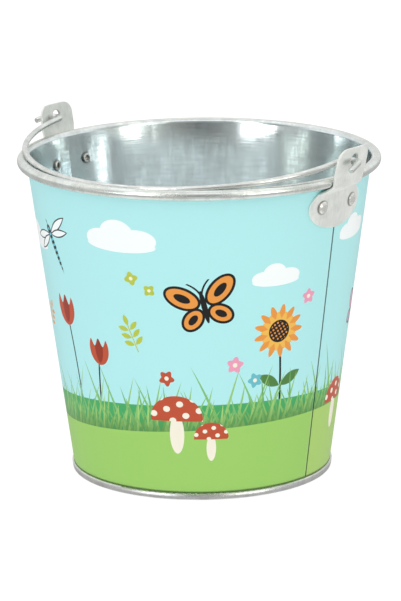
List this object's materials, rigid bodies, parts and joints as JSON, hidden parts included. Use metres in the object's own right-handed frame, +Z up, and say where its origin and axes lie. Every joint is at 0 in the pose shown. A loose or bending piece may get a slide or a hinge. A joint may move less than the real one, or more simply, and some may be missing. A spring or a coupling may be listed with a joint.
{
  "type": "sand bucket",
  "caption": "Small tapered tin bucket with a rolled wire rim, folded foot ring, riveted ears and a folding wire bail.",
  "frame": {"origin": "middle of the foot ring, on the surface that the bucket stands on", "axes": "+Z up along the bucket's axis; +X through one ear, with the wall's lock seam under it; the folded bail lies towards -Y"},
  "size_m": [0.1814, 0.165, 0.1593],
  "materials": {
    "printed_tin": "satin lacquered print outside, bare tin inside",
    "bare_tin": "bright tinplate",
    "galvanised_ear": "matt galvanised",
    "rivet_steel": "bright zinc plate",
    "bail_steel": "drawn galvanised wire"
  },
  "bodies": {
    "bucket": {"bucket_wall": "printed_tin", "rim_wire": "bare_tin", "base_pan": "bare_tin", "ear_right": "galvanised_ear", "ear_left": "galvanised_ear", "rivet_right_front": "rivet_steel", "rivet_right_back": "rivet_steel", "rivet_left_front": "rivet_steel", "rivet_left_back": "rivet_steel"},
    "bail": {"bail": "bail_steel"}
  },
  "joints": [
    {"name": "bail_hinge", "type": "hinge", "parent": "bucket", "child": "bail", "pos_m": [0, 0, 0.1531], "axis": [-1, 0, 0], "range_deg": [0, 192.68]}
  ]
}
